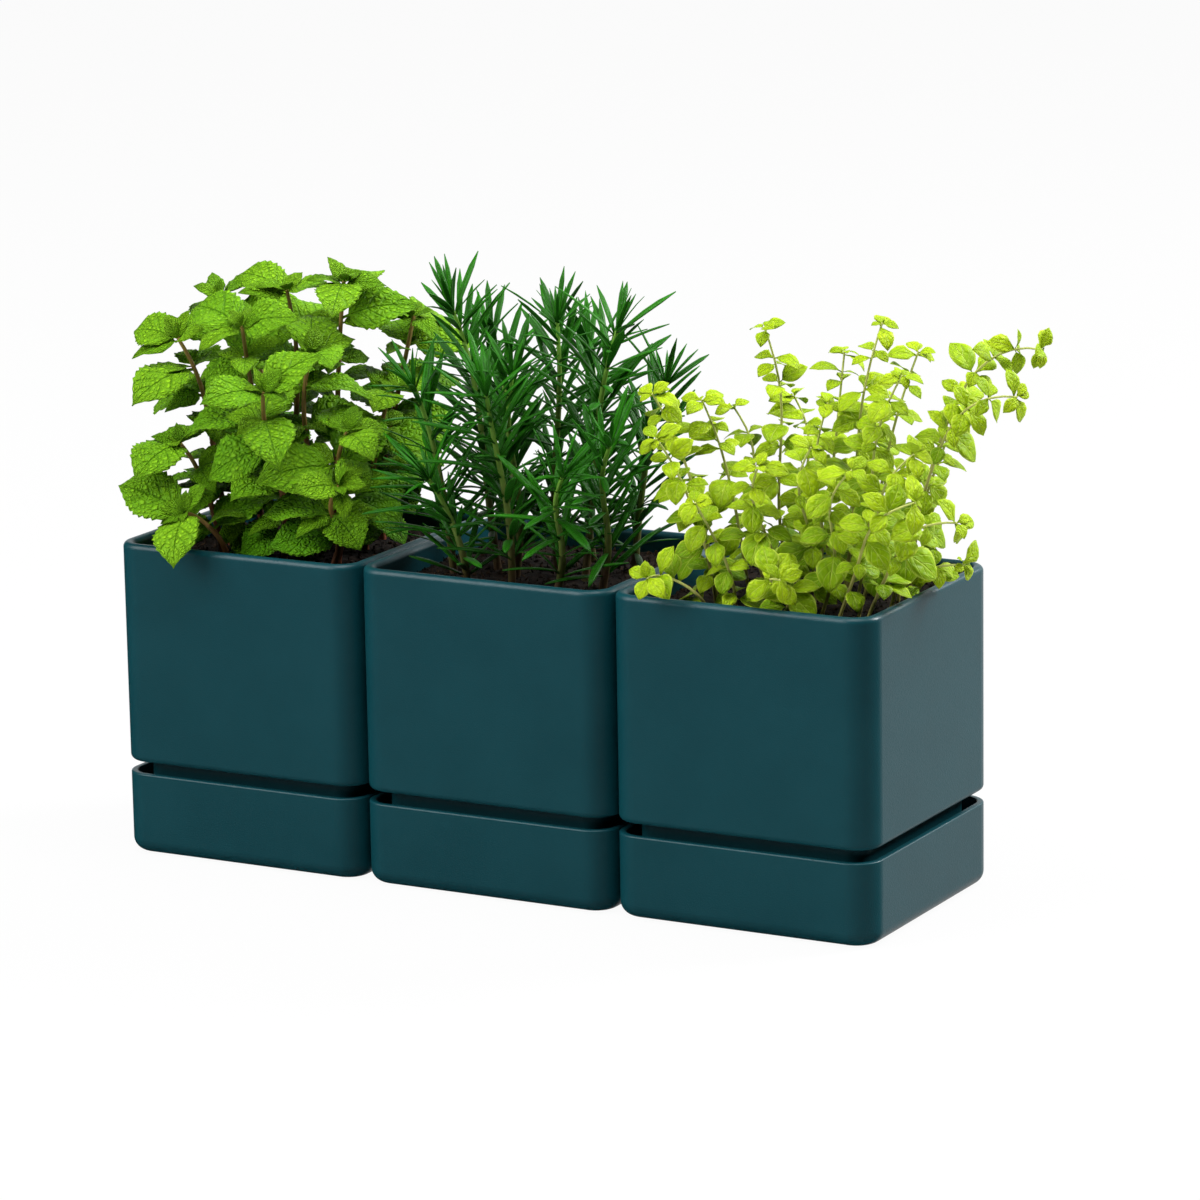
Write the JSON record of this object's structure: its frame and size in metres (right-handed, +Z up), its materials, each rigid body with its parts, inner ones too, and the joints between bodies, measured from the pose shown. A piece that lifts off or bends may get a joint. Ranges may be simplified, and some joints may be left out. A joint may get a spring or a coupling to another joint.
{
  "type": "herb planter",
  "caption": "Row of square matte plastic herb pots, each standing by its stepped neck in its own open water tray and planted with a leafy kitchen herb.",
  "frame": {"origin": "on the table under the centre of the middle tray", "axes": "+X along the row to the right, +Y to the back, +Z up"},
  "size_m": [0.433, 0.1568, 0.2622],
  "materials": {
    "teal_plastic": "matte moulded, fine grain",
    "soil": "loose dark potting mix",
    "mint": "puckered leaf, satin",
    "rosemary": "leathery needle, satin",
    "oregano": "thin leaf, satin"
  },
  "bodies": {
    "tray_left": {"tray_left": "teal_plastic"},
    "pot_left": {"pot_left": "teal_plastic", "soil_left": "soil", "mint_sprig_1": "mint", "mint_sprig_2": "mint", "mint_sprig_3": "mint", "mint_sprig_4": "mint", "mint_sprig_5": "mint", "mint_sprig_6": "mint", "mint_sprig_7": "mint", "mint_sprig_8": "mint", "mint_sprig_9": "mint", "mint_sprig_10": "mint", "mint_sprig_11": "mint", "mint_sprig_12": "mint", "mint_sprig_13": "mint", "mint_sprig_14": "mint"},
    "tray_middle": {"tray_middle": "teal_plastic"},
    "pot_middle": {"pot_middle": "teal_plastic", "soil_middle": "soil", "rosemary_sprig_1": "rosemary", "rosemary_sprig_2": "rosemary", "rosemary_sprig_3": "rosemary", "rosemary_sprig_4": "rosemary", "rosemary_sprig_5": "rosemary", "rosemary_sprig_6": "rosemary", "rosemary_sprig_7": "rosemary", "rosemary_sprig_8": "rosemary", "rosemary_sprig_9": "rosemary", "rosemary_sprig_10": "rosemary", "rosemary_sprig_11": "rosemary", "rosemary_sprig_12": "rosemary"},
    "tray_right": {"tray_right": "teal_plastic"},
    "pot_right": {"pot_right": "teal_plastic", "soil_right": "soil", "oregano_sprig_1": "oregano", "oregano_sprig_2": "oregano", "oregano_sprig_3": "oregano", "oregano_sprig_4": "oregano", "oregano_sprig_5": "oregano", "oregano_sprig_6": "oregano", "oregano_sprig_7": "oregano", "oregano_sprig_8": "oregano", "oregano_sprig_9": "oregano", "oregano_sprig_10": "oregano", "oregano_sprig_11": "oregano", "oregano_sprig_12": "oregano", "oregano_sprig_13": "oregano", "oregano_sprig_14": "oregano", "oregano_sprig_15": "oregano", "oregano_sprig_16": "oregano", "oregano_sprig_17": "oregano", "oregano_sprig_18": "oregano", "oregano_sprig_19": "oregano", "oregano_sprig_20": "oregano", "oregano_sprig_21": "oregano", "oregano_sprig_22": "oregano", "oregano_sprig_23": "oregano", "oregano_sprig_24": "oregano", "oregano_sprig_25": "oregano"}
  },
  "joints": [
    {"name": "pot_left_lift", "type": "slide", "parent": "tray_left", "child": "pot_left", "axis": [0, 0, 1], "range_m": [0, 0.15]},
    {"name": "pot_middle_lift", "type": "slide", "parent": "tray_middle", "child": "pot_middle", "axis": [0, 0, 1], "range_m": [0, 0.15]},
    {"name": "pot_right_lift", "type": "slide", "parent": "tray_right", "child": "pot_right", "axis": [0, 0, 1], "range_m": [0, 0.15]},
    {"name": "left_unit_slide", "type": "slide", "parent": "tray_middle", "child": "tray_left", "axis": [-1, 0, 0], "range_m": [0, 0.15]},
    {"name": "right_unit_slide", "type": "slide", "parent": "tray_middle", "child": "tray_right", "axis": [1, 0, 0], "range_m": [0, 0.15]}
  ]
}
